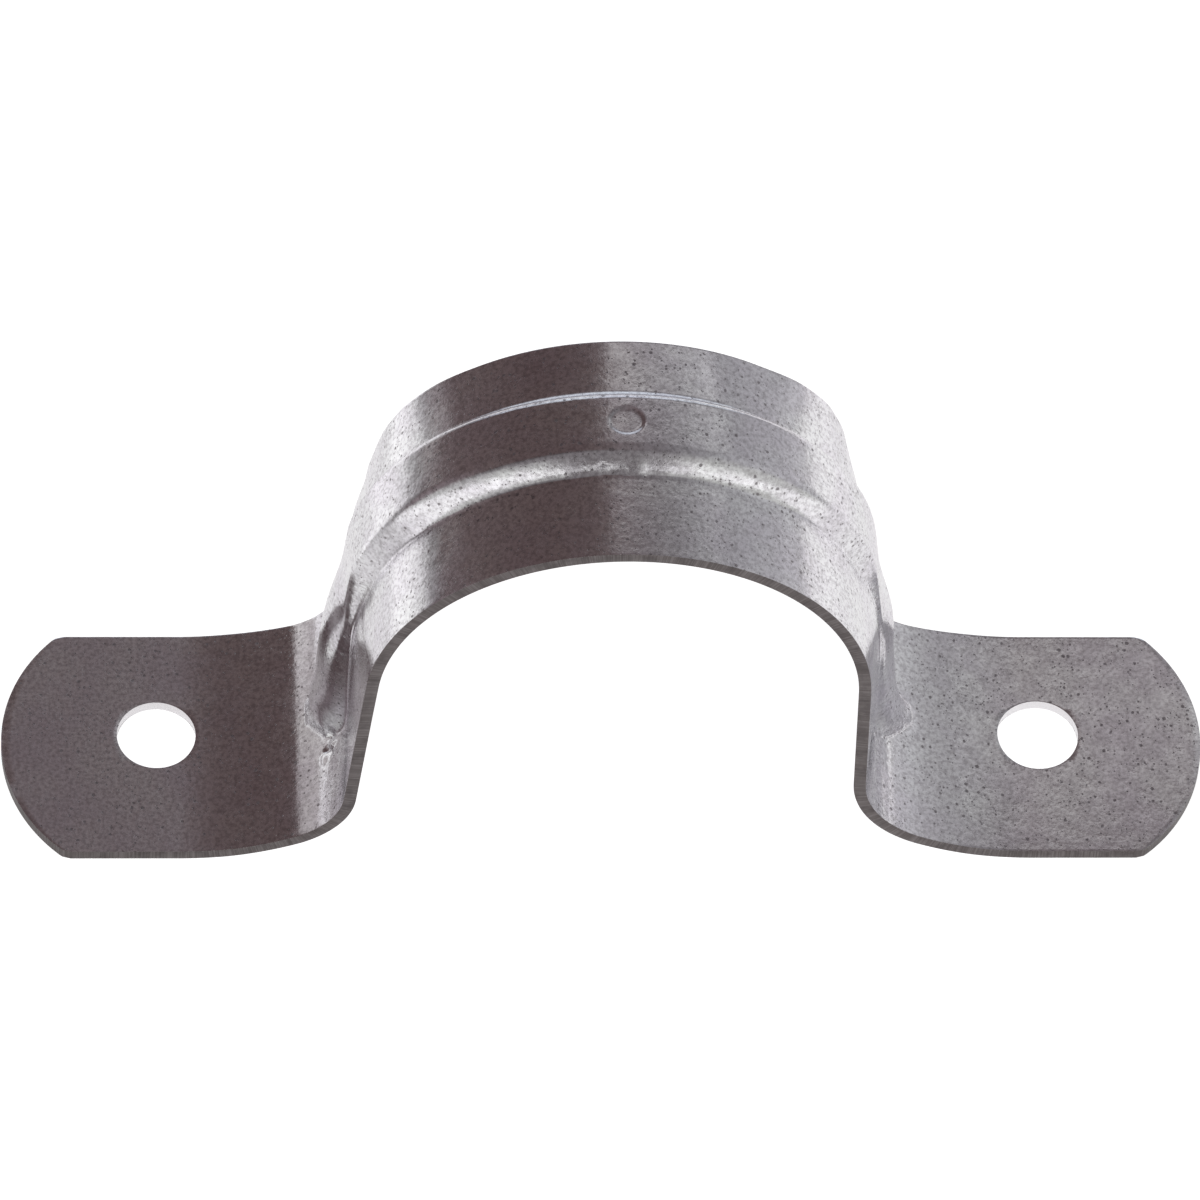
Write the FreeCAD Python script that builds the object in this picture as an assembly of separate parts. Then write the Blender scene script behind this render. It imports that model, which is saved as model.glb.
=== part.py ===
"""Two-hole conduit strap: one strip of zinc-coated sheet steel, blanked, pierced and pressed.

Frame, in millimetres: X runs from ear to ear, Y across the strip and Z up. The origin is on the
mounting surface, midway between the ears and on the strip's centreline, and Y- is the front.

The strip is described by its underside, seen from the front. From the crown it follows a circular
saddle, a nearly upright leg on each side, a tight bend that eases into a long gentle sweep, and a
flat ear. Every other face of the sheet is an offset of that line.
"""

import FreeCAD, Part
import math
import os

# Sheet and blank
THICKNESS = 1.2                # 18 gauge sheet
WIDTH = 25.4                   # 1 inch strip
DRAWN_IN = 0.3                 # pressing the bead draws in each edge of the saddle and legs
DRAWN_IN_X = 26.0              # the edges are drawn in up to here, measured from the arch axis
FULL_WIDTH_X = 38.0            # and are at full width from here
EAR_REACH = 59.3               # arch axis to each ear's tip
EAR_END_RADIUS = 16.7          # convex end of each ear
EAR_END_Y = 0.25               # its centre, behind the strip's centreline
CORNER_RADIUS = 1.6            # where an ear's end meets the strip's edges

# Saddle over the conduit
SADDLE_RADIUS = 23.2           # underside
SADDLE_CENTRE_Z = 27.6         # arch axis above the mounting surface

# Bends from legs to ears, on the underside: (left, right)
LEG_FLARE = (4.6, 1.8)         # degrees by which each leg leans outwards
BEND_RADIUS = (9.2, 11.4)      # tight part of each bend
SWEEP_RADIUS = 30.0            # gentle part, which ends flat in the ear
SWEEP_ANGLE = (22.0, 22.0)     # degrees turned by the gentle part

# Screw holes
HOLE_DIAMETER = 7.7
HOLE_X = (-43.8, 43.2)
HOLE_Y = 1.0                   # the piercing punch stood this far behind the strip's centreline

# Raised bead that stiffens the saddle and, as a gusset, both bends
BEAD_Y = 1.4                   # centreline
BEAD_CREST_RADIUS = 25.85      # over the saddle, about a centre of its own
BEAD_CENTRE_X = -0.3
BEAD_CENTRE_Z = 28.5
BEAD_FLARE = (7.0, 9.5)        # degrees by which the crest leans outwards down each leg
BEAD_FLANK_ANGLE = 65.0        # degrees from the crown to each flank
BEAD_SHOULDER = 1.8            # rounding from flank to crown, outside
BEAD_HALF_WIDTH = 4.6          # where the flanks meet the sheet at the top of the saddle
BEAD_ROOT_DEPTH = 7.0          # how far below the crest the bead's section is drawn
RUN_OUT_RADIUS = 1.0           # blend where the crown dies into each bend
RUN_OUT_Z = (3.6, 9.0)         # the heights between which it does

# Ejector mark on the crown of the bead
MARK_DIAMETER = 3.1
MARK_DEPTH = 0.12
MARK_X = 0.0
MARK_Y = 1.5

SIDES = (-1, 1)                # left, right
BEYOND = 20.0                  # how far cutting shapes run past the sheet

SADDLE_TOP = SADDLE_CENTRE_Z + SADDLE_RADIUS + THICKNESS
CREST_TOP = BEAD_CENTRE_Z + BEAD_CREST_RADIUS


def pick(pair, side):
    """The left or right value of a pair."""
    return pair[0] if side < 0 else pair[1]


def point(side, x, z, y=0.0):
    """A point in the strip's side view, given for the right half and mirrored for the left."""
    return FreeCAD.Vector(side * x, y, z)


def line(start, end):
    return Part.LineSegment(start, end).toShape()


def arc(side, centre, radius, first, last):
    """An arc in the side view from one angle to another, in degrees, mirrored for the left half."""
    places = []
    for angle in (first, (first + last) / 2, last):
        turn = math.radians(angle)
        x = centre[0] + radius * math.cos(turn)
        z = centre[1] + radius * math.sin(turn)
        places.append(point(side, x, z))
    return Part.Arc(*places).toShape()


def bend(side):
    """Centres, as (x, z), of one side's tight bend and of its gentle sweep."""
    flare = math.radians(pick(LEG_FLARE, side))
    sweep = math.radians(pick(SWEEP_ANGLE, side))
    tight = pick(BEND_RADIUS, side)
    sweep_drop = (SWEEP_RADIUS - tight) * math.cos(sweep)
    centre_z = SWEEP_RADIUS - sweep_drop
    reach = SADDLE_RADIUS + tight
    leg_length = (SADDLE_CENTRE_Z + reach * math.sin(flare) - centre_z) / math.cos(flare)
    centre_x = reach * math.cos(flare) + leg_length * math.sin(flare)
    sweep_x = centre_x + (SWEEP_RADIUS - tight) * math.sin(sweep)
    return (centre_x, centre_z), (sweep_x, SWEEP_RADIUS)


def half_line(side, offset):
    """One half of the strip's line in side view, offset outwards, from the ear's end to the leg."""
    flare = pick(LEG_FLARE, side)
    sweep = pick(SWEEP_ANGLE, side)
    tight_centre, sweep_centre = bend(side)
    tight = arc(side, tight_centre, pick(BEND_RADIUS, side) - offset, 270 - sweep, 180 + flare)
    gentle = arc(side, sweep_centre, SWEEP_RADIUS - offset, 270, 270 - sweep)
    ear_end = point(side, EAR_REACH + BEYOND, offset)
    ear = line(ear_end, gentle.valueAt(gentle.FirstParameter))
    turn = math.radians(flare)
    leg_top = point(
        side,
        (SADDLE_RADIUS + offset) * math.cos(turn),
        SADDLE_CENTRE_Z + (SADDLE_RADIUS + offset) * math.sin(turn),
    )
    leg_foot = tight.valueAt(tight.LastParameter)
    return [ear, gentle, tight, line(leg_foot, leg_top)]


def strip_line(offset):
    """The whole line in side view from the left ear to the right one, offset outwards."""
    left_flare, right_flare = LEG_FLARE
    saddle = arc(1, (0, SADDLE_CENTRE_Z), SADDLE_RADIUS + offset, 180 - left_flare, right_flare)
    return half_line(-1, offset) + [saddle] + half_line(1, offset)


def extruded(edges, width):
    """The solid between two faces of that width, centred on the strip, inside a closed line."""
    face = Part.Face(Part.Wire(Part.__sortEdges__(edges)))
    face.translate(FreeCAD.Vector(0, -width / 2, 0))
    return face.extrude(FreeCAD.Vector(0, width, 0))


def folded_strip():
    """The plain bent strip, with ears longer than they will be."""
    end = EAR_REACH + BEYOND
    ends = [line(point(side, end, 0), point(side, end, THICKNESS)) for side in SIDES]
    return extruded(strip_line(0) + strip_line(THICKNESS) + ends, WIDTH)


def outside_of_strip():
    """All that lies outwards of the middle of the sheet, where the bead may stand."""
    end = EAR_REACH + BEYOND
    top = CREST_TOP + BEYOND
    middle = THICKNESS / 2
    frame = [
        line(point(-1, end, middle), point(-1, end, top)),
        line(point(-1, end, top), point(1, end, top)),
        line(point(1, end, top), point(1, end, middle)),
    ]
    return extruded(strip_line(middle) + frame, WIDTH + BEYOND)


def edge_of_blank(end):
    """One long edge of the blank seen from above, drawn in beside the bead by two pairs of arcs."""
    half = WIDTH / 2
    run = FULL_WIDTH_X - DRAWN_IN_X
    radius = (run ** 2 + DRAWN_IN ** 2) / (4 * DRAWN_IN)
    quarter = math.asin(run / 2 / radius) / 2
    along = radius * math.sin(quarter)
    rise = radius * (1 - math.cos(quarter))

    def place(side, x, y):
        return FreeCAD.Vector(side * x, end * y, -BEYOND)

    edges = [line(place(-1, DRAWN_IN_X, half - DRAWN_IN), place(1, DRAWN_IN_X, half - DRAWN_IN))]
    for side in SIDES:
        inner = place(side, DRAWN_IN_X, half - DRAWN_IN)
        middle = place(side, (DRAWN_IN_X + FULL_WIDTH_X) / 2, half - DRAWN_IN / 2)
        outer = place(side, FULL_WIDTH_X, half)
        swell = place(side, DRAWN_IN_X + along, half - DRAWN_IN + rise)
        settle = place(side, FULL_WIDTH_X - along, half - rise)
        edges.append(Part.Arc(inner, swell, middle).toShape())
        edges.append(Part.Arc(middle, settle, outer).toShape())
        edges.append(line(outer, place(side, ear_corner_x(end), half)))
    return edges


def ear_corner_x(end):
    """Where the convex end of an ear would meet one long edge, before its corner is rounded."""
    across = WIDTH / 2 - end * EAR_END_Y
    return EAR_REACH - EAR_END_RADIUS + math.sqrt(EAR_END_RADIUS ** 2 - across ** 2)


def blank_outline():
    """A tall prism on the blank's outline as it lies bent, seen from above."""
    edges = edge_of_blank(-1) + edge_of_blank(1)
    for side in SIDES:
        front = FreeCAD.Vector(side * ear_corner_x(-1), -WIDTH / 2, -BEYOND)
        tip = FreeCAD.Vector(side * EAR_REACH, EAR_END_Y, -BEYOND)
        back = FreeCAD.Vector(side * ear_corner_x(1), WIDTH / 2, -BEYOND)
        edges.append(Part.Arc(front, tip, back).toShape())
    face = Part.Face(Part.Wire(Part.__sortEdges__(edges)))
    prism = face.extrude(FreeCAD.Vector(0, 0, SADDLE_TOP + 2 * BEYOND))
    corners = [e for e in prism.Edges if is_ear_corner(e)]
    return prism.makeFillet(CORNER_RADIUS, corners)


def is_ear_corner(edge):
    """True for the four upright edges at the ears' corners."""
    middle = edge.valueAt((edge.FirstParameter + edge.LastParameter) / 2)
    upright = edge.BoundBox.ZLength > BEYOND
    return upright and abs(middle.x) > FULL_WIDTH_X + CORNER_RADIUS


def bead_section(side, inset):
    """The bead's section where its crest leaves the saddle: flat crown, round shoulders, flanks.

    An inset of one sheet thickness gives the hollow on the underside."""
    flank = math.radians(BEAD_FLANK_ANGLE)
    shoulder = BEAD_SHOULDER - inset
    crest_height = CREST_TOP - SADDLE_TOP
    crown_half = BEAD_HALF_WIDTH - crest_height / math.tan(flank)
    crown_half -= BEAD_SHOULDER * math.tan(flank / 2)
    crest = BEAD_CREST_RADIUS - inset

    def place(end, across, up):
        turn = math.radians(pick(BEAD_FLARE, side))
        x = side * BEAD_CENTRE_X + (crest + up) * math.cos(turn)
        z = BEAD_CENTRE_Z + (crest + up) * math.sin(turn)
        return point(side, x, z, BEAD_Y + end * across)

    def on_shoulder(angle):
        across = crown_half + shoulder * math.sin(angle)
        return across, -shoulder * (1 - math.cos(angle))

    flank_across, flank_up = on_shoulder(flank)
    root_across = flank_across + (BEAD_ROOT_DEPTH + flank_up) / math.tan(flank)
    edges = [
        line(place(-1, crown_half, 0), place(1, crown_half, 0)),
        line(place(-1, root_across, -BEAD_ROOT_DEPTH), place(1, root_across, -BEAD_ROOT_DEPTH)),
    ]
    for end in SIDES:
        middle = place(end, *on_shoulder(flank / 2))
        flank_top = place(end, flank_across, flank_up)
        edges.append(Part.Arc(place(end, crown_half, 0), middle, flank_top).toShape())
        edges.append(line(flank_top, place(end, root_across, -BEAD_ROOT_DEPTH)))
    return Part.Face(Part.Wire(Part.__sortEdges__(edges)))


def bead_bar(inset):
    """A bar of the bead's section, over the saddle and straight down past both bends."""
    centre = FreeCAD.Vector(BEAD_CENTRE_X, 0, BEAD_CENTRE_Z)
    turn_over = FreeCAD.Vector(0, -1, 0)
    bar = bead_section(1, inset).revolve(centre, turn_over, 180 - sum(BEAD_FLARE))
    for side in SIDES:
        turn = math.radians(pick(BEAD_FLARE, side))
        length = BEAD_CENTRE_Z + BEYOND
        down = point(side, length * math.sin(turn), -length * math.cos(turn))
        bar = bar.fuse(bead_section(side, inset).extrude(down))
    return bar.removeSplitter()


def screw_hole(x):
    centre = FreeCAD.Vector(x, HOLE_Y, -BEYOND)
    return Part.makeCylinder(HOLE_DIAMETER / 2, 2 * BEYOND, centre)


def ejector_mark():
    """The shallow round recess on the crown."""
    floor = FreeCAD.Vector(MARK_X, MARK_Y, CREST_TOP - MARK_DEPTH)
    return Part.makeCylinder(MARK_DIAMETER / 2, BEYOND, floor)


def is_run_out(edge):
    """True for the edges where the crown and shoulders of the bead die into a bend."""
    middle = edge.valueAt((edge.FirstParameter + edge.LastParameter) / 2)
    outside_legs = abs(middle.x) > SADDLE_RADIUS + THICKNESS
    on_bead = abs(middle.y - BEAD_Y) < BEAD_HALF_WIDTH + THICKNESS
    up_the_bend = RUN_OUT_Z[0] < middle.z < RUN_OUT_Z[1]
    return outside_legs and on_bead and up_the_bend and edge.Length < BEAD_ROOT_DEPTH


def strap():
    strip = folded_strip().common(blank_outline())
    bead = bead_bar(0).common(outside_of_strip())
    body = strip.fuse(bead).removeSplitter()
    body = body.makeFillet(RUN_OUT_RADIUS, [e for e in body.Edges if is_run_out(e)])
    body = body.cut(bead_bar(THICKNESS))
    for x in HOLE_X:
        body = body.cut(screw_hole(x))
    return body.cut(ejector_mark())


os.makedirs("parts", exist_ok=True)
solid = strap()
print("solids", len(solid.Solids), "valid", solid.isValid(), "volume", round(solid.Volume, 1))
print("box", solid.optimalBoundingBox())
solid.exportStep("parts/strap.step")
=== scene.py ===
"""Two-hole conduit strap of zinc-coated sheet steel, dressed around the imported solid.

The strap is made again as the press makes it: a flat blank is laid out as a fine grid, pierced,
trimmed round at both ends, and pressed over the side view of the solid, with the bead, its run-outs,
the ejector mark and the wear as height on the outer face. The sheet then gets its thickness.
Lengths in this script are millimetres until a mesh is finished, and the scene is in metres.
"""

import math

import bpy
import numpy as np
from mathutils import Matrix, Vector


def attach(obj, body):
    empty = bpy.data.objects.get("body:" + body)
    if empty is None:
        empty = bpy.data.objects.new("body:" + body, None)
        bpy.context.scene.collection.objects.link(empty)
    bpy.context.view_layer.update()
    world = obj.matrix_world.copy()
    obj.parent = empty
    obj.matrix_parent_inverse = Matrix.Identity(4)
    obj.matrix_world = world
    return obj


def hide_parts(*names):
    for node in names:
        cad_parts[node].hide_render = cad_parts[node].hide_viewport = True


MM = 0.001

# Sheet and blank
THICKNESS = 1.2
WIDTH = 25.4
DRAWN_IN = 0.3                 # pressing the bead draws in each long edge of the saddle and legs
DRAWN_IN_X = 26.0              # up to here, measured from the arch axis
FULL_WIDTH_X = 38.0            # and the edges are at full width from here
EAR_REACH = (59.05, 59.3)
EAR_END_RADIUS = 16.7
EAR_END_Y = (0.25, 0.5)
CORNER_RADIUS = 1.6

# Side view of the underside: (left, right)
SIDE_VIEW_STEP = 0.02          # distance between samples
SADDLE_RADIUS = 23.2
SADDLE_CENTRE_Z = 27.6
LEG_FLARE = (4.6, 1.8)
BEND_RADIUS = (9.2, 11.4)
SWEEP_RADIUS = 30.0
SWEEP_ANGLE = 22.0

# Screw holes
HOLE_RADIUS = (3.87, 4.0)
HOLE_X = (-43.8, 43.2)
HOLE_Y = 1.0

# Raised bead
BEAD_Y = 1.4
BEAD_CREST_RADIUS = 25.85
BEAD_CENTRE_X = -0.3
BEAD_CENTRE_Z = 28.5
BEAD_FLARE = (7.0, 9.5)
BEAD_FLANK_ANGLE = 65.0
BEAD_HALF_WIDTH = 4.6
SHOULDER_BLEND = (1.75, 0.9)   # height over which crown and flank are rounded together: (saddle, leg)
CREASE_BLEND = (               # the same for flank and sheet, at distances along the blank: (front, back)
    [(0, 0.4), (7, 0.5), (14, 1.0), (30, 1.0), (38, 0.3), (50, 0.3), (58, 0.9)],
    [(0, 1.5), (30, 1.5), (40, 0.4), (50, 0.5), (58, 1.2)],
)
RUN_OUT_BLEND = 1.8            # and for the crown where it dies into each bend

# The bead on the legs. Spans are distances along the blank from the crown
DOME_SPAN = (33, 42)           # along here the bead's flat crown turns into a dome
DOME_HALF_WIDTH = 4.35
DOME_POWER = 2.2               # how the dome falls to both sides
DOME_STEP = (0.5, 0.9)         # step left at the dome's foot, at the top and at the bottom of the leg
DOME_STEP_SPAN = (46, 58)
DOME_STEP_SHARE = 0.15         # the step is never more than this share of the bead's height
TONGUE_SPAN = (53, 59)         # along here the dome narrows where it is low, and ends as a tongue
TONGUE_HEIGHT = (0.2, 3.2)
TONGUE_NARROWING = 0.6

# How the press pulled the sheet out of true, as heights at distances along the blank: (left, right)
CREST_RISE = (
    [(34, 0), (37, 0.1), (42, 0.6), (48, 0.6), (52, 0.3), (55, 0), (60, 0), (63, -0.5), (66, 0)],
    [(34, 0), (38, 0), (44, 0.5), (50, 0), (55, -0.3), (61, -0.4), (65, 0)],
)
FRONT_CREASE_LIFT = (
    [(33, 0), (36, 0.2), (39, 0.5), (46, 0.3), (50, 0), (56, -0.5), (62, 0)],
    [(30, 0), (34, 0.4), (38, 1.0), (44, 1.4), (49, 1.4), (54, 1.2), (58, 0.3), (62, 0)],
)
BACK_LEG_LIFT = (0.0, 0.9)     # the back of the leg stands out whole
BACK_LEG_SPAN = (36, 41, 54, 61)
BACK_EDGE_DROOP = (0.5, 0.8)   # the saddle's back edge hangs in where it meets the leg
BACK_DROOP_SPAN = (26, 33, 36, 43)
BACK_EDGE_RISE = (0.2, 0.4)    # and stands out halfway up the arch
BACK_RISE_SPAN = (14, 20, 23, 27)

# Ejector mark on the crown
MARK_RADIUS = 1.55
MARK_DEPTH = 0.12
MARK_WALL = (-0.2, 0.1)        # its wall slopes between these distances from the radius
MARK_Y = 1.5

# Wear: the front crease wavers and slips near the top, and spots are torn where the bead runs out
CREASE_WAVES = [(0.018, 1.1), (0.0126, 0.47)]      # (height, length)
CREASE_SLIPS = [                                   # (along the blank, half length, shift to the front)
    (-2.2, 0.5, -0.12), (0.8, 1.1, 0.12),
]
CREASE_STRAY_ACROSS = (3.7, 4.5)                   # it sets in at these distances from the bead's middle
CREASE_STRAY_END = (14, 22)                        # and fades out at these distances from the crown
GOUGES = [                                         # (along the blank, y, half length, half width, depth)
    (-59.3, -2.6, 0.7, 0.3, 0.35), (-60.0, -2.2, 0.4, 0.3, -0.2), (-60.2, -3.9, 0.45, 0.4, 0.4),
    (-59.6, -4.6, 0.4, 0.3, 0.35), (-59.3, -3.8, 0.5, 0.25, -0.25), (-60.6, -4.7, 0.35, 0.35, -0.2),
    (58.6, -3.2, 0.4, 0.25, -0.15),
]

# Sheared edges
EDGE_ROUNDING = 0.14
HOLE_WALL_REACH = 0.3          # a hole's wall is looked for this far outside its radius

# The sheet's finishes, by material slot
COATED, SHEARED, WORN_RIM, PUNCHED = range(4)

# The grid that the blank is laid out on
RING = 2.9                     # half side of the square that becomes a hole
RING_OUTSIDE = 6.2             # half side of the square outside which the grid stays as it is
CROWN_FINE = 3.6               # fine columns reach this far from the crown
LEG_FINE = 4.0                 # and start again this far above the leg
CREASE_MARGIN = 1.2            # fine rows reach this far beyond each crease
MARK_MARGIN = 2.1              # and this far from the ejector mark's middle
EDGE_ROWS = (0.22, 0.5)        # two rows that lie close to each sheared edge

SIDES = (-1, 1)                # left, right
SADDLE_TOP = SADDLE_CENTRE_Z + SADDLE_RADIUS + THICKNESS
CREST_TOP = BEAD_CENTRE_Z + BEAD_CREST_RADIUS
FRONT_CREASE = BEAD_Y - BEAD_HALF_WIDTH
BACK_CREASE = BEAD_Y + BEAD_HALF_WIDTH

# Camera
CAMERA_TARGET = (-1.291, 0, 26.246)
CAMERA_DISTANCE = 1249.03
CAMERA_AZIMUTH = -5.739        # degrees
CAMERA_ELEVATION = 55.486
CAMERA_ROLL = 4.756
CAMERA_LENS = 386.7            # on a sensor 36 mm wide

# Studio
FLOOR_SIZE = 6                 # metres
ROOM_SHADES = (                # (x of a direction, its shade)
    (-1.0, "#8a7f82"), (-0.8, "#665959"), (-0.5, "#5b4d4d"), (-0.2, "#5f5252"), (-0.09, "#675b5b"),
    (0.0, "#756b6d"), (0.25, "#777274"), (0.45, "#898789"), (0.6, "#9c9a9d"), (0.7, "#acabae"),
    (0.77, "#b1b0b3"), (0.85, "#bcbbbe"),
)


def pick(pair, side):
    """The left or right value of a pair."""
    return pair[0] if side < 0 else pair[1]


def by_side(side, pair):
    """The first value of a pair where side is below 0 and the second elsewhere, for many places."""
    return np.where(side < 0, pair[0], pair[1])


def between(pair, share):
    """The value at that share of the way from the first of a pair to the second."""
    return pair[0] + (pair[1] - pair[0]) * share


def smooth_step(value, first, last):
    """0 up to first, 1 from last, and an S curve between."""
    share = np.clip((value - first) / (last - first), 0, 1)
    return share * share * (3 - 2 * share)


def smaller(a, b, blend):
    """The smaller of two heights, rounded over that much height where they meet."""
    overlap = np.maximum(blend - np.abs(a - b), 0)
    return np.minimum(a, b) - overlap ** 2 / (4 * np.maximum(blend, 1e-9))


def larger(a, b, blend):
    """The larger of two heights, rounded over that much height where they meet."""
    return -smaller(-a, -b, blend)


def hump(value, first, top_from, top_to, last):
    """0 outside first and last, 1 from top_from to top_to, with smooth flanks."""
    return smooth_step(value, first, top_from) * (1 - smooth_step(value, top_to, last))


def level(stations, value):
    """Height at that value on the straight lines between (value, height) stations."""
    place, height = zip(*stations)
    return np.interp(value, place, height)


def through(stations, value):
    """Height at that value on the smooth curve through (value, height) stations, level past both ends."""
    place, height = np.array(stations, float).T
    slope = np.gradient(height, place)
    slope[0] = slope[-1] = 0
    start = np.clip(np.searchsorted(place, value) - 1, 0, len(place) - 2)
    width = place[start + 1] - place[start]
    share = np.clip((value - place[start]) / width, 0, 1)
    rise = smooth_step(share, 0, 1)
    leave = share * (1 - share) ** 2 * slope[start]
    arrive = share * share * (share - 1) * slope[start + 1]
    return height[start] * (1 - rise) + height[start + 1] * rise + width * (leave + arrive)


# ---- Side view of the outer face ------------------------------------------------------------


def side_view(side):
    """The outer face's line on one side, sampled from the crown to past the ear's tip.

    Holds distance along it, x, z, heading and the bead's height, for either side seen as the right
    half, and the distances at which its runs end."""
    flare = math.radians(pick(LEG_FLARE, side))
    sweep = math.radians(SWEEP_ANGLE)
    tight = pick(BEND_RADIUS, side)
    centre_z = SWEEP_RADIUS - (SWEEP_RADIUS - tight) * math.cos(sweep)
    reach = SADDLE_RADIUS + tight
    leg = (SADDLE_CENTRE_Z + reach * math.sin(flare) - centre_z) / math.cos(flare)
    quarter = math.pi / 2 - flare
    runs = [
        ((SADDLE_RADIUS + THICKNESS) * quarter, -quarter),
        (leg, 0),
        ((tight - THICKNESS) * (quarter - sweep), quarter - sweep),
        ((SWEEP_RADIUS - THICKNESS) * sweep, sweep),
        (max(EAR_REACH), 0),
    ]
    ends = np.cumsum([0] + [length for length, turn in runs])
    headings = np.cumsum([0] + [turn for length, turn in runs])
    distance = np.arange(0, ends[-1], SIDE_VIEW_STEP)
    heading = np.interp(distance, ends, headings)
    step = np.diff(distance)
    middle = (heading[1:] + heading[:-1]) / 2
    x = np.concatenate([[0], np.cumsum(step * np.cos(middle))])
    z = SADDLE_TOP + np.concatenate([[0], np.cumsum(step * np.sin(middle))])
    view = {"distance": distance, "x": x, "z": z, "heading": heading, "ends": ends}
    view["crest"] = crest_height(side, view)
    return view


def crest_height(side, view):
    """Height of the bead's crest above the outer face, along the strip's side view."""
    flare = math.radians(pick(BEAD_FLARE, side))
    centre = np.array([side * BEAD_CENTRE_X, BEAD_CENTRE_Z])
    outward = np.stack([-np.sin(view["heading"]), np.cos(view["heading"])], 1)
    place = np.stack([view["x"], view["z"]], 1) - centre
    along = (place * outward).sum(1)
    round_part = -along + np.sqrt(along ** 2 - (place ** 2).sum(1) + BEAD_CREST_RADIUS ** 2 + 0j).real
    facing = np.array([math.cos(flare), math.sin(flare)])
    slope = np.maximum(outward @ facing, 1e-3)
    straight_part = (BEAD_CREST_RADIUS - place @ facing) / slope
    met = place + round_part[:, None] * outward
    inside = (place ** 2).sum(1) < BEAD_CREST_RADIUS ** 2
    on_saddle = inside & (np.arctan2(met[:, 1], met[:, 0]) > flare)
    height = np.where(on_saddle, round_part, straight_part)
    return larger(np.clip(height, -5, 9), np.zeros_like(height), RUN_OUT_BLEND)


VIEWS = {side: side_view(side) for side in SIDES}


def along_blank(side, x):
    """The blank's own coordinate of a place on an ear, given by its distance from the arch axis."""
    view = VIEWS[side]
    return float(np.interp(x, view["x"], view["distance"]))


# ---- The flat blank ---------------------------------------------------------------------------


def graded(first, stretches):
    """Places from first on, evenly divided along each (end, pitch) stretch, and the last end."""
    places = []
    for last, pitch in stretches:
        count = max(1, round((last - first) / pitch))
        places += [first + (last - first) * i / count for i in range(count)]
        first = last
    return places + [first]


def hole_along(side):
    """The blank's own coordinate of a hole's axis."""
    return along_blank(side, abs(pick(HOLE_X, side)))


def half_columns(side):
    """Places of the grid's columns along one half, from the crown outwards."""
    saddle_end, leg_end, tight_bend_end = VIEWS[side]["ends"][1:4]
    hole = hole_along(side)
    tip = along_blank(side, pick(EAR_REACH, side))
    return graded(0, [
        (CROWN_FINE, 0.15), (saddle_end - LEG_FINE, 0.5), (leg_end, 0.35), (tight_bend_end, 0.2),
        (hole - RING_OUTSIDE, 0.5), (hole - RING, 0.6), (hole + RING, 0.4), (hole + RING_OUTSIDE, 0.6),
        (tip, 1.0),
    ])


def rows():
    """Places of the grid's rows across the blank, closer together at the creases and the edges."""
    edge = WIDTH / 2
    near, inner = EDGE_ROWS
    return graded(-edge, [
        (-edge + near, 1.0), (-edge + inner, 1.0), (FRONT_CREASE - CREASE_MARGIN, 0.6), (HOLE_Y - RING, 0.2),
        (MARK_Y - MARK_MARGIN, 0.3), (MARK_Y + MARK_MARGIN, 0.2), (HOLE_Y + RING, 0.3),
        (BACK_CREASE + CREASE_MARGIN, 0.2), (edge - inner, 0.6), (edge - near, 1.0), (edge, 1.0),
    ])


def ear_end(side, y):
    """Distance from the arch axis to an ear's convex end, with its corners rounded."""
    end_y = pick(EAR_END_Y, side)
    across = np.abs(y - end_y)
    centre = pick(EAR_REACH, side) - EAR_END_RADIUS
    end = centre + np.sqrt(EAR_END_RADIUS ** 2 - across ** 2)
    corner_y = WIDTH / 2 - CORNER_RADIUS
    for back in SIDES:
        corner_across = abs(back * corner_y - end_y)
        corner_x = centre + math.sqrt((EAR_END_RADIUS - CORNER_RADIUS) ** 2 - corner_across ** 2)
        leave = end_y + (back * corner_y - end_y) * EAR_END_RADIUS / (EAR_END_RADIUS - CORNER_RADIUS)
        past = (y - leave) * back > 0
        drop = np.clip(CORNER_RADIUS ** 2 - (y - back * corner_y) ** 2, 0, None)
        end = np.where(past, corner_x + np.sqrt(drop), end)
    return end


def trimmed(flat):
    """The blank's columns outside each hole drawn onto the ear's convex end."""
    for side in SIDES:
        reach = pick(EAR_REACH, side)
        tip = along_blank(side, reach)
        start = hole_along(side) + RING_OUTSIDE
        distance = flat[:, 0] * side
        outside = distance > start
        share = (distance - start) / (tip - start)
        end = tip - reach + ear_end(side, flat[:, 1])
        flat[:, 0] = np.where(outside, side * (start + share * (end - start)), flat[:, 0])
    return flat


def pierced(flat):
    """The grid round each hole drawn from a square into the hole's circle."""
    for side in SIDES:
        centre = np.array([side * hole_along(side), HOLE_Y])
        place = flat - centre
        square = np.abs(place).max(1)
        reach = np.maximum(np.linalg.norm(place, axis=1), 1e-6)
        rim = place / reach[:, None] * pick(HOLE_RADIUS, side)
        outer = place / np.maximum(square, 1e-6)[:, None] * RING_OUTSIDE
        share = np.clip((square - RING) / (RING_OUTSIDE - RING), 0, 1)[:, None]
        near = (square < RING_OUTSIDE)[:, None]
        flat = np.where(near, centre + rim * (1 - share) + outer * share, flat)
    return flat


# ---- The press ----------------------------------------------------------------------------------


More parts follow.
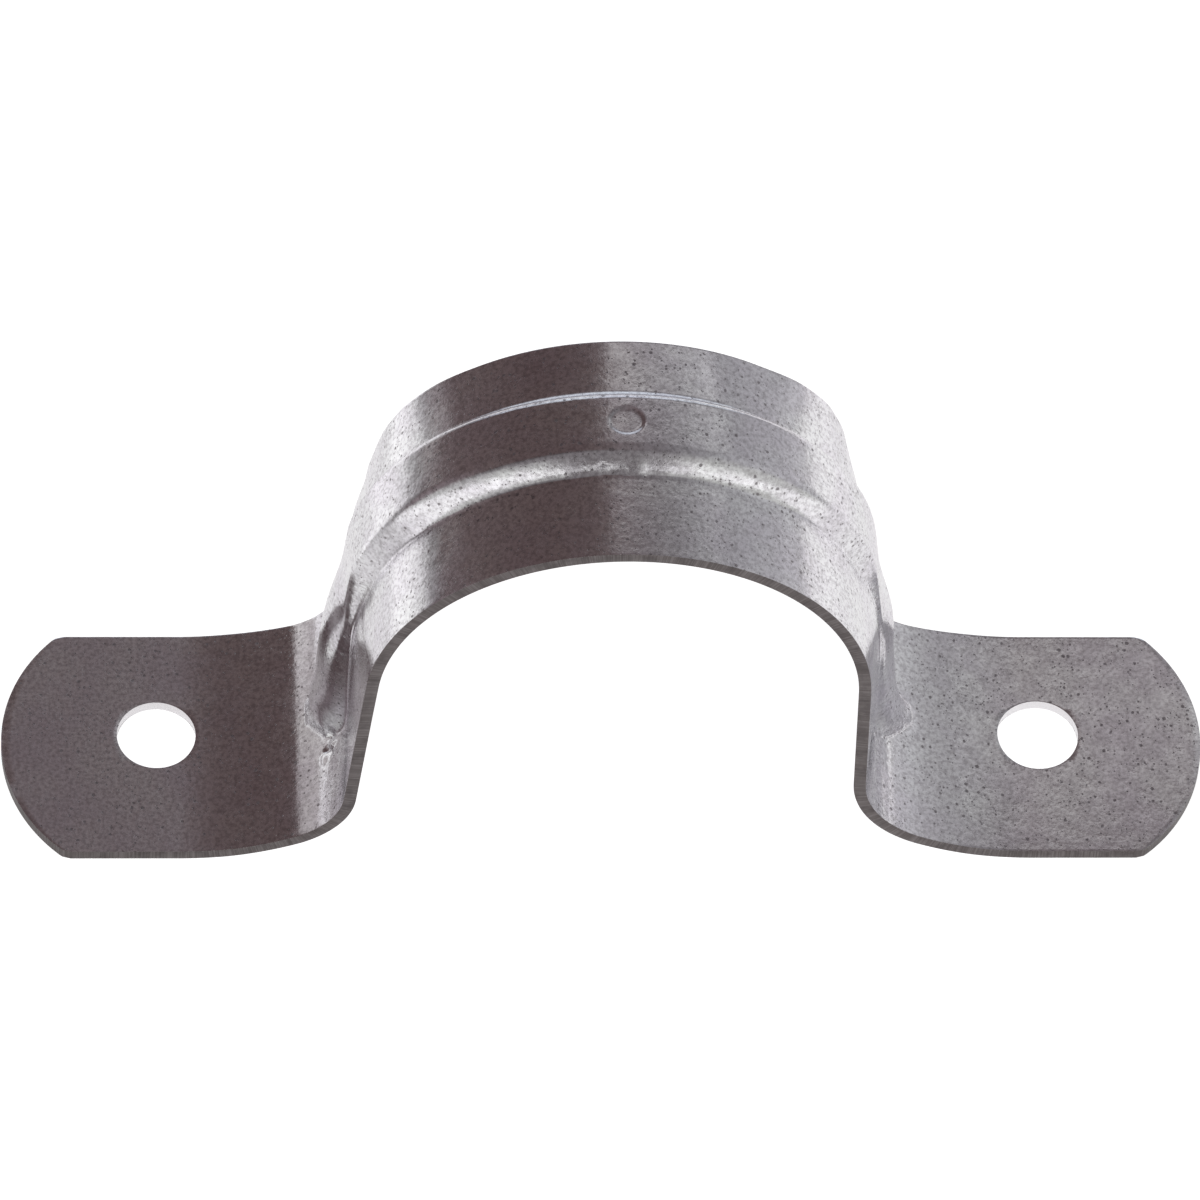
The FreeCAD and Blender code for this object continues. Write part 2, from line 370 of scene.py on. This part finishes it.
def band_lift(side, distance, y):
    """Height of the plain sheet beside the bead over the true bent strip."""
    half = WIDTH / 2
    to_front = np.clip((y + half) / (FRONT_CREASE + half), 0, 1)
    to_back = smooth_step(y, FRONT_CREASE, BACK_CREASE)
    to_back_edge = np.clip((y - BACK_CREASE) / (half - BACK_CREASE), 0, 1)
    leg = hump(distance, *BACK_LEG_SPAN) * by_side(side, BACK_LEG_LIFT)
    droop = hump(distance, *BACK_DROOP_SPAN) * by_side(side, BACK_EDGE_DROOP)
    rise = hump(distance, *BACK_RISE_SPAN) * by_side(side, BACK_EDGE_RISE)
    crease = by_side(side, [through(stations, distance) for stations in FRONT_CREASE_LIFT])
    return crease * to_front * (1 - to_back) + leg * to_back + (rise - droop) * to_back_edge ** 2


def bead_height(crest, across, sheet, distance):
    """Height of the outer face at that distance across from the bead's centreline.

    On the saddle the crown is flat and its flanks lean at their angle. Down the legs it domes over
    to a low step."""
    leg = smooth_step(distance, *DOME_SPAN)
    crease = by_side(across, [level(stations, distance) for stations in CREASE_BLEND])
    across = np.abs(across)
    slope = math.tan(math.radians(BEAD_FLANK_ANGLE))
    crown_corner = BEAD_HALF_WIDTH - (CREST_TOP - SADDLE_TOP) / slope
    rise = np.maximum(crest - sheet, 0)
    step = between(DOME_STEP, smooth_step(distance, *DOME_STEP_SPAN))
    step = np.minimum(step, DOME_STEP_SHARE * rise)
    tongue = smooth_step(distance, *TONGUE_SPAN) * (1 - smooth_step(rise, *TONGUE_HEIGHT))
    half_width = DOME_HALF_WIDTH * (1 - TONGUE_NARROWING * tongue)
    dome = crest - leg * (rise - step) * (across / half_width) ** DOME_POWER
    saddle_flank = crest + (crown_corner - across) * slope
    leg_flank = sheet + (half_width - across) * slope
    crown = smaller(dome, between((saddle_flank, leg_flank), leg), between(SHOULDER_BLEND, leg))
    return larger(crown, sheet, crease * np.clip(crest, 0, 1))


def crease_stray(along, y):
    """How far to the front the bead's front crease has strayed from its true line."""
    stray = sum(height * np.sin(along / length) for height, length in CREASE_WAVES)
    for place, half_length, shift in CREASE_SLIPS:
        stray = stray + shift * np.exp(-((along - place) / half_length) ** 2)
    fading = 1 - smooth_step(np.abs(along), *CREASE_STRAY_END)
    return stray * smooth_step(BEAD_Y - y, *CREASE_STRAY_ACROSS) * fading


def gouged(along, y):
    """Depth of the torn spots."""
    depth = np.zeros_like(y)
    for place, middle, half_length, half_width, deepest in GOUGES:
        reach = ((along - place) / half_length) ** 2 + ((y - middle) / half_width) ** 2
        depth = depth + deepest * np.exp(-reach)
    return depth


def marked(along, y):
    """Depth of the ejector mark."""
    from_wall = np.hypot(along, y - MARK_Y) - MARK_RADIUS
    return MARK_DEPTH * (1 - smooth_step(from_wall, *MARK_WALL))


def pressed(flat):
    """Places on the finished outer face for places on the blank."""
    along, y = flat.T
    distance = np.abs(along)
    side = np.where(along < 0, -1, 1)

    def read(name):
        return by_side(side, [np.interp(distance, VIEWS[one]["distance"], VIEWS[one][name]) for one in SIDES])

    x, z, heading = read("x"), read("z"), read("heading")
    crest = read("crest") + by_side(side, [through(stations, distance) for stations in CREST_RISE])
    across = y - BEAD_Y + crease_stray(along, y)
    height = bead_height(crest, across, band_lift(side, distance, y), distance)
    height = height - gouged(along, y) - marked(along, y)
    drawn = DRAWN_IN * (1 - smooth_step(x, DRAWN_IN_X, FULL_WIDTH_X))
    y = y - drawn * np.sign(y) * (y / (WIDTH / 2)) ** 2
    x = x - height * np.sin(heading)
    z = z + height * np.cos(heading)
    return np.stack([side * x, y, z], 1)


def select_only(piece):
    bpy.ops.object.select_all(action="DESELECT")
    piece.select_set(True)
    bpy.context.view_layer.objects.active = piece


def apply_modifier(piece, kind, **settings):
    modifier = piece.modifiers.new(kind.lower(), kind)
    for name, value in settings.items():
        setattr(modifier, name, value)
    bpy.ops.object.modifier_apply(modifier=modifier.name)


def read_all(items, name, kind=float, parts=1):
    """One property of all vertices, corners or faces, as an array with a row for each."""
    values = np.zeros(len(items) * parts, kind)
    items.foreach_get(name, values)
    return values.reshape(-1, parts)


def flat_grid():
    """The whole grid, flat, with the blank's own coordinates as its UV map, in metres."""
    columns = [-place for place in reversed(half_columns(-1))] + half_columns(1)[1:]
    across = rows()
    bpy.ops.object.select_all(action="DESELECT")
    bpy.ops.mesh.primitive_grid_add(x_subdivisions=len(columns) - 1, y_subdivisions=len(across) - 1, size=1)
    sheet = bpy.context.object
    sheet.name = "strap_sheet"
    mesh = sheet.data
    column, row = np.meshgrid(columns, across)
    flat = np.stack([column.ravel(), row.ravel(), np.zeros(column.size)], 1)
    mesh.vertices.foreach_set("co", flat.ravel())
    uv = mesh.uv_layers[0]
    uv.name = "blank"
    corner = read_all(mesh.loops, "vertex_index", int)[:, 0]
    uv.data.foreach_set("uv", (flat[corner, :2] * MM).ravel())
    return sheet


def punch(sheet):
    """Takes out the faces inside both rings."""
    mesh = sheet.data
    centre = read_all(mesh.polygons, "center", parts=3)
    punched = np.zeros(len(centre), bool)
    for side in SIDES:
        hole = side * hole_along(side)
        punched |= np.maximum(np.abs(centre[:, 0] - hole), np.abs(centre[:, 1] - HOLE_Y)) < RING
    bpy.ops.object.mode_set(mode="EDIT")
    bpy.ops.mesh.select_mode(type="FACE")
    bpy.ops.mesh.select_all(action="DESELECT")
    bpy.ops.object.mode_set(mode="OBJECT")
    mesh.polygons.foreach_set("select", punched)
    bpy.ops.object.mode_set(mode="EDIT")
    bpy.ops.mesh.delete(type="FACE")
    bpy.ops.object.mode_set(mode="OBJECT")


def burnish_holes(mesh):
    """Gives the walls of both holes, sheared like the edges, a finish of their own."""
    finish = read_all(mesh.polygons, "material_index", int)[:, 0]
    centre = read_all(mesh.polygons, "center", parts=3) / MM
    for side in SIDES:
        off_axis = np.hypot(centre[:, 0] - pick(HOLE_X, side), centre[:, 1] - HOLE_Y)
        on_wall = off_axis < pick(HOLE_RADIUS, side) + HOLE_WALL_REACH
        finish[(finish == SHEARED) & on_wall] = PUNCHED
    mesh.polygons.foreach_set("material_index", finish)


def strap_sheet(finishes):
    """The whole strap as one pressed sheet, with its finishes in the order of COATED to PUNCHED."""
    sheet = flat_grid()
    punch(sheet)
    mesh = sheet.data
    flat = pierced(trimmed(read_all(mesh.vertices, "co", parts=3)[:, :2]))
    mesh.vertices.foreach_set("co", (pressed(flat) * MM).ravel())
    mesh.update()
    for finish in finishes:
        mesh.materials.append(finish)
    select_only(sheet)
    apply_modifier(
        sheet, "SOLIDIFY", thickness=THICKNESS * MM, offset=-1, use_even_offset=True,
        use_quality_normals=True, material_offset_rim=SHEARED,
    )
    apply_modifier(
        sheet, "BEVEL", width=EDGE_ROUNDING * MM, segments=2, limit_method="ANGLE",
        angle_limit=math.radians(50), use_clamp_overlap=True, material=WORN_RIM,
    )
    burnish_holes(mesh)
    bpy.ops.object.shade_smooth_by_angle(angle=math.radians(40))
    apply_modifier(sheet, "WEIGHTED_NORMAL", keep_sharp=True)
    return sheet


# ---- Materials ----------------------------------------------------------------------------------


def colour(code):
    """An sRGB hex code as linear RGBA."""
    values = []
    for start in (1, 3, 5):
        value = int(code[start:start + 2], 16) / 255
        values.append(value / 12.92 if value <= 0.04045 else ((value + 0.055) / 1.055) ** 2.4)
    return (*values, 1)


def new_material(name):
    material = bpy.data.materials.new(name)
    material.use_nodes = True
    material.node_tree.nodes.clear()
    return material


def add_node(material, kind, settings=None, inputs=None):
    """Adds a node with its settings, and with each input, by name or number, set to a value or linked."""
    node = material.node_tree.nodes.new(kind)
    for name, value in (settings or {}).items():
        setattr(node, name, value)
    for name, value in (inputs or {}).items():
        socket = node.inputs[name]
        if isinstance(value, bpy.types.NodeSocket):
            material.node_tree.links.new(value, socket)
        else:
            socket.default_value = value
    return node


def surfaced(material, inputs):
    """Ends a material with one principled surface."""
    surface = add_node(material, "ShaderNodeBsdfPrincipled", inputs=inputs)
    add_node(material, "ShaderNodeOutputMaterial", inputs={"Surface": surface.outputs["BSDF"]})
    return material


def noise(material, place, size, roughness, detail=3.0):
    """Cloudy noise whose lumps are about that many millimetres across."""
    return add_node(material, "ShaderNodeTexNoise", inputs={
        "Vector": place, "Scale": 1 / size, "Detail": detail, "Roughness": roughness,
    }).outputs["Fac"]


def ramp(material, value, first, last, low=0.0, high=1.0):
    """Takes a value between first and last smoothly from low to high."""
    return add_node(material, "ShaderNodeMapRange", {"interpolation_type": "SMOOTHSTEP"}, {
        "Value": value, "From Min": first, "From Max": last, "To Min": low, "To Max": high,
    }).outputs["Result"]


def blended(material, share, low, high, mode="MIX"):
    """Two colours mixed by a share, 0 for the first."""
    settings = {"data_type": "RGBA", "blend_type": mode}
    return add_node(material, "ShaderNodeMix", settings, {0: share, 6: low, 7: high}).outputs[2]


def reckon(material, operation, first, second=0.0):
    """The result of one sum on two values."""
    return add_node(material, "ShaderNodeMath", {"operation": operation}, {0: first, 1: second}).outputs[0]


def times(material, first, second):
    return reckon(material, "MULTIPLY", first, second)


def in_millimetres(material, place):
    """Coordinates in metres turned into millimetres."""
    return add_node(material, "ShaderNodeVectorMath", {"operation": "SCALE"}, {
        "Vector": place, "Scale": 1 / MM,
    }).outputs["Vector"]


def own_place(material):
    """The piece's own coordinates in millimetres."""
    return in_millimetres(material, add_node(material, "ShaderNodeTexCoord").outputs["Object"])


def pitting(material, place, ragged, crowding, size):
    """Ragged round pits about a third of that size across, in crowds. 1 in a pit and 0 outside."""
    cells = add_node(material, "ShaderNodeTexVoronoi", inputs={"Vector": place, "Scale": 1 / size}).outputs
    lot = add_node(material, "ShaderNodeSeparateColor", inputs={"Color": cells["Color"]}).outputs
    radius = ramp(material, lot["Green"], 0, 1, 0.02, 0.2)
    radius = reckon(material, "ADD", radius, times(material, ragged, 0.2))
    pit = ramp(material, reckon(material, "SUBTRACT", radius, cells["Distance"]), 0.0, 0.12)
    filled = ramp(material, crowding, 0.3, 0.6, 0.1, 0.95)
    chosen = ramp(material, reckon(material, "SUBTRACT", filled, lot["Red"]), 0.0, 0.1)
    return times(material, pit, chosen)


def zinc_surface(name, light, shade, roughness, metallic=1.0):
    """Hot-dip zinc on sheet steel: nearly a mirror, but clouded, orange-peeled and peppered with pits."""
    material = new_material(name)
    place = own_place(material)
    clouds = noise(material, place, size=6.0, roughness=0.55)
    peel = noise(material, place, size=1.5, roughness=0.55)
    fine = noise(material, place, size=0.4, roughness=0.65)
    crowding = noise(material, place, size=3.5, roughness=0.6)
    coarse_pits = pitting(material, place, fine, crowding, size=0.75)
    fine_pits = pitting(material, place, fine, crowding, size=0.4)
    pits = reckon(material, "MAXIMUM", coarse_pits, fine_pits)
    tone = blended(material, ramp(material, clouds, 0.3, 0.7), colour(light), colour(shade))
    tone = blended(material, ramp(material, fine, 0.35, 0.7, 0.0, 0.8), tone, colour("#b9b6b9"))
    tone = blended(material, times(material, pits, 0.6), tone, colour("#665d5f"))
    rough = ramp(material, peel, 0.3, 0.7, roughness, roughness + 0.08)
    rough = reckon(material, "ADD", rough, times(material, pits, 0.25))
    relief = reckon(material, "ADD", times(material, peel, 0.030), times(material, fine, 0.010))
    relief = reckon(material, "SUBTRACT", relief, times(material, pits, 0.006))
    bump = add_node(material, "ShaderNodeBump", inputs={"Strength": 1.0, "Distance": MM, "Height": relief})
    return surfaced(material, {
        "Base Color": tone, "Metallic": metallic, "Roughness": rough, "Normal": bump.outputs["Normal"],
    })


def hot_dip_zinc():
    """The zinc as it came from the bath and the press."""
    return zinc_surface("hot_dip_zinc", "#f4f5f6", "#eae7ed", roughness=0.14)


def rubbed_zinc():
    """Zinc rubbed light and dull along the rounded rims of the sheet."""
    return zinc_surface("rubbed_zinc_rim", "#fdfdfd", "#f4f3f4", roughness=0.4, metallic=0.2)


def sheared_steel():
    """Bare steel where the blank was sheared: dull, with fine tear marks across the thickness."""
    material = new_material("sheared_steel_edge")
    blank = add_node(material, "ShaderNodeUVMap", {"uv_map": "blank"}).outputs["UV"]
    blank = in_millimetres(material, blank)
    tears = noise(material, blank, size=0.13, roughness=0.6, detail=2.0)
    patches = noise(material, own_place(material), size=1.6, roughness=0.6)
    tone = blended(material, ramp(material, tears, 0.35, 0.7), colour("#5f5958"), colour("#7d7777"))
    tone = blended(material, ramp(material, patches, 0.4, 0.7, 0.0, 0.6), tone, colour("#4e4848"))
    bump = add_node(material, "ShaderNodeBump", inputs={
        "Strength": 0.6, "Distance": MM, "Height": times(material, tears, 0.03),
    })
    return surfaced(material, {
        "Base Color": tone, "Metallic": 1.0, "Roughness": 0.42, "Normal": bump.outputs["Normal"],
    })


def punched_steel():
    """Steel burnished by the punch on the walls of both holes."""
    material = new_material("punched_hole_wall")
    return surfaced(material, {"Base Color": colour("#eceaec"), "Metallic": 1.0, "Roughness": 0.22})


def white_table_and_painted_glow():
    """White table, with white of its own for the eye, and a painted pool of light and a painted glow along
    its front that only reflections see.
    """
    material = new_material("white_table_and_painted_glow")
    path = add_node(material, "ShaderNodeLightPath").outputs
    place = add_node(material, "ShaderNodeTexCoord").outputs["Object"]
    seen = reckon(material, "MAXIMUM", path["Is Camera Ray"], path["Is Transmission Ray"])
    # painted pool of light on the table, seen only in reflections, fading out round this centre
    painted_glow_centre = (0.35, 0.25, 0)
    away = add_node(material, "ShaderNodeVectorMath", {"operation": "DISTANCE"}, {0: place, 1: painted_glow_centre})
    lit = ramp(material, away.outputs["Value"], 0.66, 0.42, 0, 0.6)
    split = add_node(material, "ShaderNodeSeparateXYZ", inputs={"Vector": place}).outputs
    # painted glow along the table in front of the strap, seen only in reflections
    front = ramp(material, split["Y"], -0.02, -0.12, 0, 0.75)
    # painted light for reflections alone: the larger of the pool and the front glow
    mirrored = times(material, path["Is Glossy Ray"], reckon(material, "MAXIMUM", lit, front))
    return surfaced(material, {
        "Base Color": colour("#d8d8d8"), "Roughness": 0.9, "Specular IOR Level": 0.0,
        "Emission Color": colour("#ffffff"),
        "Emission Strength": reckon(material, "MAXIMUM", times(material, seen, 0.85), mirrored),
    })


# ---- Studio --------------------------------------------------------------------------------------


def softbox(name, place, target, size, radiance, turn=0.0, reflected_only=True):
    """A lit panel at a place, turned to a target, that looks that bright where it is mirrored."""
    light = bpy.data.lights.new(name, "AREA")
    light.shape = "RECTANGLE"
    light.size = size[0] * MM
    light.size_y = size[1] * MM
    light.energy = radiance * math.pi * light.size * light.size_y
    lamp = bpy.data.objects.new(name, light)
    bpy.context.scene.collection.objects.link(lamp)
    place = Vector(place) * MM
    facing = (Vector(target) * MM - place).to_track_quat("-Z", "Y").to_matrix().to_4x4()
    lamp.matrix_world = Matrix.Translation(place) @ Matrix.Rotation(math.radians(turn), 4, "Z") @ facing
    lamp.visible_camera = False
    lamp.visible_diffuse = not reflected_only
    lamp.visible_glossy = reflected_only


def room():
    """Surroundings: brown dark to the left, grey to the right, light low down in front and at the back."""
    world = bpy.data.worlds.new("room")
    bpy.context.scene.world = world
    world.use_nodes = True
    world.node_tree.nodes.clear()
    facing = add_node(world, "ShaderNodeTexCoord").outputs["Generated"]
    split = add_node(world, "ShaderNodeSeparateXYZ", inputs={"Vector": facing}).outputs
    across = add_node(world, "ShaderNodeMapRange", inputs={"Value": split["X"], "From Min": -1.0}).outputs
    sides = add_node(world, "ShaderNodeValToRGB", inputs={"Fac": across["Result"]})
    stops = sides.color_ramp.elements
    while len(stops) < len(ROOM_SHADES):
        stops.new(0.5)
    for stop, (place, code) in zip(stops, ROOM_SHADES):
        stop.position = (place + 1) / 2
        stop.color = colour(code)
    ahead = blended(world, ramp(world, split["Y"], -0.1, -0.7), colour("#000000"), colour("#7f7a7c"))
    shade = blended(world, 1.0, sides.outputs["Color"], ahead, "LIGHTEN")
    aside = ramp(world, reckon(world, "ABSOLUTE", split["X"]), 0.12, 0.36)
    reach = ramp(world, split["X"], -0.2, 0.2, 0.55, 0.9)
    low = ramp(world, reckon(world, "DIVIDE", split["Z"], reach), 1.0, 0.2)
    front = ramp(world, split["Y"], 0.0, -0.4)
    shade = blended(world, times(world, times(world, aside, low), front), shade, colour("#cbcbc9"))
    shade = blended(world, ramp(world, split["Y"], 0.75, 0.95), shade, colour("#e2e8f2"))
    background = add_node(world, "ShaderNodeBackground", inputs={"Color": shade, "Strength": 1.0})
    add_node(world, "ShaderNodeOutputWorld", inputs={"Surface": background.outputs["Background"]})


def floor():
    bpy.ops.object.select_all(action="DESELECT")
    bpy.ops.mesh.primitive_plane_add(size=FLOOR_SIZE)
    table = bpy.context.object
    table.name = "floor"
    table.data.materials.append(white_table_and_painted_glow())


def studio():
    """Floor, room, one large key above, and panels that are there for their reflections alone."""
    floor()
    room()
    strap_middle = (0, 0, 45)
    softbox("top_key", (-120, -160, 700), (0, 0, 0), (420, 420), radiance=2.6, reflected_only=False)
    softbox("board_behind", (82, 139, 200), (82, 139, 0), (190, 34), radiance=0.3, turn=13.5)
    softbox("low_card", (-74, 46, 17.5), (0, 46, 17.5), (84, 33), radiance=0.34)
    softbox("far_card", (-112, 104, 40), (0, 104, 40), (76, 40), radiance=0.22)
    softbox("right_card", (74, 38, 32), (0, 38, 32), (64, 48), radiance=0.1)
    softbox("left_front", (-145, -375, 45), strap_middle, (120, 110), radiance=0.26)
    softbox("right_front", (170, -365, 75), strap_middle, (130, 120), radiance=0.28)
    bpy.context.scene.view_settings.view_transform = "Standard"


def camera():
    lens = bpy.data.cameras.new("camera")
    lens.sensor_width = 36
    lens.lens = CAMERA_LENS
    lens.clip_start = 0.1
    lens.clip_end = 10
    viewer = bpy.data.objects.new("camera", lens)
    bpy.context.scene.collection.objects.link(viewer)
    turn = Matrix.Rotation(math.radians(CAMERA_AZIMUTH), 4, "Z")
    turn = turn @ Matrix.Rotation(math.radians(90 - CAMERA_ELEVATION), 4, "X")
    turn = turn @ Matrix.Rotation(math.radians(CAMERA_ROLL), 4, "Z")
    back = Matrix.Translation((0, 0, CAMERA_DISTANCE * MM))
    viewer.matrix_world = Matrix.Translation(Vector(CAMERA_TARGET) * MM) @ turn @ back
    bpy.context.scene.camera = viewer


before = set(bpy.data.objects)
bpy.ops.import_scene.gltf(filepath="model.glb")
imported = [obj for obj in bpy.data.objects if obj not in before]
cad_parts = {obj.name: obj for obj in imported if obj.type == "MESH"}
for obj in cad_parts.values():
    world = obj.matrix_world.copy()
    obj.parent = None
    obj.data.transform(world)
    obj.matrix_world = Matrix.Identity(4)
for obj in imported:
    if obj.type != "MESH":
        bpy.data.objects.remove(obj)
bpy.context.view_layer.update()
camera()
studio()
strap = strap_sheet([hot_dip_zinc(), sheared_steel(), rubbed_zinc(), punched_steel()])
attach(strap, "root")
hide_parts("strap")
